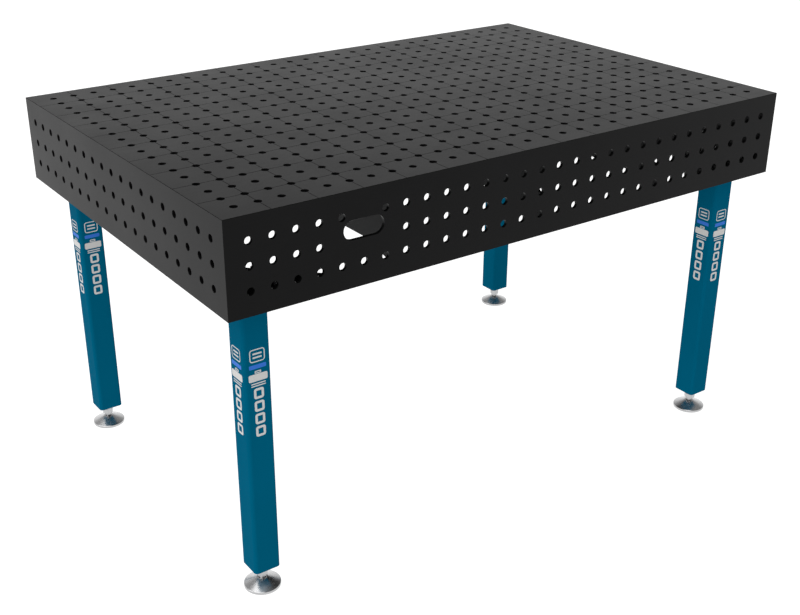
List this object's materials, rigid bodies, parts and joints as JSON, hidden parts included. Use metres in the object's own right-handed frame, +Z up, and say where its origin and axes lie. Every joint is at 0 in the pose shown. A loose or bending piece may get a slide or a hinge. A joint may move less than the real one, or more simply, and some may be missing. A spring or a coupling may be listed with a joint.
{
  "type": "welding table",
  "caption": "Steel welding table: a perforated box top with a 16 mm hole grid and ribs under it, on four square bolted legs with screw-adjusted levelling feet.",
  "frame": {"origin": "on the floor, under the middle of the table", "axes": "+X along the long side, -Y is the front with the hand slot, +Z up"},
  "size_m": [1.5, 1, 0.88],
  "materials": {
    "nitrided_steel": "satin dark nitrided steel",
    "blue_paint": "smooth satin powder coat",
    "zinc_steel": "bright zinc plated",
    "bright_steel": "turned and plated, mirror bright",
    "rubber": "matte",
    "cup_plastic": "matte"
  },
  "bodies": {
    "table": {"top_plate": "nitrided_steel", "front_plate": "nitrided_steel", "rear_plate": "nitrided_steel", "left_plate": "nitrided_steel", "right_plate": "nitrided_steel", "rib_left": "nitrided_steel", "rib_middle": "nitrided_steel", "rib_right": "nitrided_steel", "rib_long": "nitrided_steel", "leg_bolts": "zinc_steel", "leg_bolt_washers": "zinc_steel", "leg_bolt_nuts": "zinc_steel", "corner_plate_front_left": "nitrided_steel", "leg_front_left": "blue_paint", "leg_flange_front_left": "blue_paint", "leg_end_plate_front_left": "blue_paint", "leg_bush_front_left": "zinc_steel", "corner_plate_front_right": "nitrided_steel", "leg_front_right": "blue_paint", "leg_flange_front_right": "blue_paint", "leg_end_plate_front_right": "blue_paint", "leg_bush_front_right": "zinc_steel", "corner_plate_rear_left": "nitrided_steel", "leg_rear_left": "blue_paint", "leg_flange_rear_left": "blue_paint", "leg_end_plate_rear_left": "blue_paint", "leg_bush_rear_left": "zinc_steel", "corner_plate_rear_right": "nitrided_steel", "leg_rear_right": "blue_paint", "leg_flange_rear_right": "blue_paint", "leg_end_plate_rear_right": "blue_paint", "leg_bush_rear_right": "zinc_steel"},
    "cup_front_left": {"foot_ball_cup_front_left": "cup_plastic"},
    "spindle_front_left": {"foot_spindle_front_left": "zinc_steel"},
    "base_front_left": {"foot_disc_front_left": "bright_steel", "foot_pad_front_left": "rubber"},
    "washer_front_left": {"foot_washer_front_left": "zinc_steel"},
    "nut_front_left": {"foot_lock_nut_front_left": "zinc_steel"},
    "cup_front_right": {"foot_ball_cup_front_right": "cup_plastic"},
    "spindle_front_right": {"foot_spindle_front_right": "zinc_steel"},
    "base_front_right": {"foot_disc_front_right": "bright_steel", "foot_pad_front_right": "rubber"},
    "washer_front_right": {"foot_washer_front_right": "zinc_steel"},
    "nut_front_right": {"foot_lock_nut_front_right": "zinc_steel"},
    "cup_rear_left": {"foot_ball_cup_rear_left": "cup_plastic"},
    "spindle_rear_left": {"foot_spindle_rear_left": "zinc_steel"},
    "base_rear_left": {"foot_disc_rear_left": "bright_steel", "foot_pad_rear_left": "rubber"},
    "washer_rear_left": {"foot_washer_rear_left": "zinc_steel"},
    "nut_rear_left": {"foot_lock_nut_rear_left": "zinc_steel"},
    "cup_rear_right": {"foot_ball_cup_rear_right": "cup_plastic"},
    "spindle_rear_right": {"foot_spindle_rear_right": "zinc_steel"},
    "base_rear_right": {"foot_disc_rear_right": "bright_steel", "foot_pad_rear_right": "rubber"},
    "washer_rear_right": {"foot_washer_rear_right": "zinc_steel"},
    "nut_rear_right": {"foot_lock_nut_rear_right": "zinc_steel"}
  },
  "joints": [
    {"name": "height_front_left", "type": "slide", "parent": "table", "child": "cup_front_left", "axis": [0, 0, -1], "range_m": [0, 0.05]},
    {"name": "screw_front_left", "type": "hinge", "parent": "cup_front_left", "child": "spindle_front_left", "pos_m": [-0.667, -0.417, 0.0135], "axis": [0, 0, -1], "range_deg": [0, 9000]},
    {"name": "tilt_front_left", "type": "hinge", "parent": "cup_front_left", "child": "base_front_left", "pos_m": [-0.667, -0.417, 0.0135], "axis": [1, 0, 0], "range_deg": [-8, 8]},
    {"name": "nut_drop_front_left", "type": "slide", "parent": "table", "child": "washer_front_left", "axis": [0, 0, -1], "range_m": [0, 0.001]},
    {"name": "nut_turn_front_left", "type": "hinge", "parent": "washer_front_left", "child": "nut_front_left", "pos_m": [-0.667, -0.417, 0.0365], "axis": [0, 0, -1], "range_deg": [0, 180]},
    {"name": "height_front_right", "type": "slide", "parent": "table", "child": "cup_front_right", "axis": [0, 0, -1], "range_m": [0, 0.05]},
    {"name": "screw_front_right", "type": "hinge", "parent": "cup_front_right", "child": "spindle_front_right", "pos_m": [0.667, -0.417, 0.0135], "axis": [0, 0, -1], "range_deg": [0, 9000]},
    {"name": "tilt_front_right", "type": "hinge", "parent": "cup_front_right", "child": "base_front_right", "pos_m": [0.667, -0.417, 0.0135], "axis": [1, 0, 0], "range_deg": [-8, 8]},
    {"name": "nut_drop_front_right", "type": "slide", "parent": "table", "child": "washer_front_right", "axis": [0, 0, -1], "range_m": [0, 0.001]},
    {"name": "nut_turn_front_right", "type": "hinge", "parent": "washer_front_right", "child": "nut_front_right", "pos_m": [0.667, -0.417, 0.0365], "axis": [0, 0, -1], "range_deg": [0, 180]},
    {"name": "height_rear_left", "type": "slide", "parent": "table", "child": "cup_rear_left", "axis": [0, 0, -1], "range_m": [0, 0.05]},
    {"name": "screw_rear_left", "type": "hinge", "parent": "cup_rear_left", "child": "spindle_rear_left", "pos_m": [-0.667, 0.417, 0.0135], "axis": [0, 0, -1], "range_deg": [0, 9000]},
    {"name": "tilt_rear_left", "type": "hinge", "parent": "cup_rear_left", "child": "base_rear_left", "pos_m": [-0.667, 0.417, 0.0135], "axis": [1, 0, 0], "range_deg": [-8, 8]},
    {"name": "nut_drop_rear_left", "type": "slide", "parent": "table", "child": "washer_rear_left", "axis": [0, 0, -1], "range_m": [0, 0.001]},
    {"name": "nut_turn_rear_left", "type": "hinge", "parent": "washer_rear_left", "child": "nut_rear_left", "pos_m": [-0.667, 0.417, 0.0365], "axis": [0, 0, -1], "range_deg": [0, 180]},
    {"name": "height_rear_right", "type": "slide", "parent": "table", "child": "cup_rear_right", "axis": [0, 0, -1], "range_m": [0, 0.05]},
    {"name": "screw_rear_right", "type": "hinge", "parent": "cup_rear_right", "child": "spindle_rear_right", "pos_m": [0.667, 0.417, 0.0135], "axis": [0, 0, -1], "range_deg": [0, 9000]},
    {"name": "tilt_rear_right", "type": "hinge", "parent": "cup_rear_right", "child": "base_rear_right", "pos_m": [0.667, 0.417, 0.0135], "axis": [1, 0, 0], "range_deg": [-8, 8]},
    {"name": "nut_drop_rear_right", "type": "slide", "parent": "table", "child": "washer_rear_right", "axis": [0, 0, -1], "range_m": [0, 0.001]},
    {"name": "nut_turn_rear_right", "type": "hinge", "parent": "washer_rear_right", "child": "nut_rear_right", "pos_m": [0.667, 0.417, 0.0365], "axis": [0, 0, -1], "range_deg": [0, 180]}
  ],
  "couplings": [
    {"joint": "screw_front_left", "follows": "height_front_left", "rad_per_m": 3141.6},
    {"joint": "nut_turn_front_left", "follows": "nut_drop_front_left", "rad_per_m": 3141.6},
    {"joint": "screw_front_right", "follows": "height_front_right", "rad_per_m": 3141.6},
    {"joint": "nut_turn_front_right", "follows": "nut_drop_front_right", "rad_per_m": 3141.6},
    {"joint": "screw_rear_left", "follows": "height_rear_left", "rad_per_m": 3141.6},
    {"joint": "nut_turn_rear_left", "follows": "nut_drop_rear_left", "rad_per_m": 3141.6},
    {"joint": "screw_rear_right", "follows": "height_rear_right", "rad_per_m": 3141.6},
    {"joint": "nut_turn_rear_right", "follows": "nut_drop_rear_right", "rad_per_m": 3141.6}
  ]
}
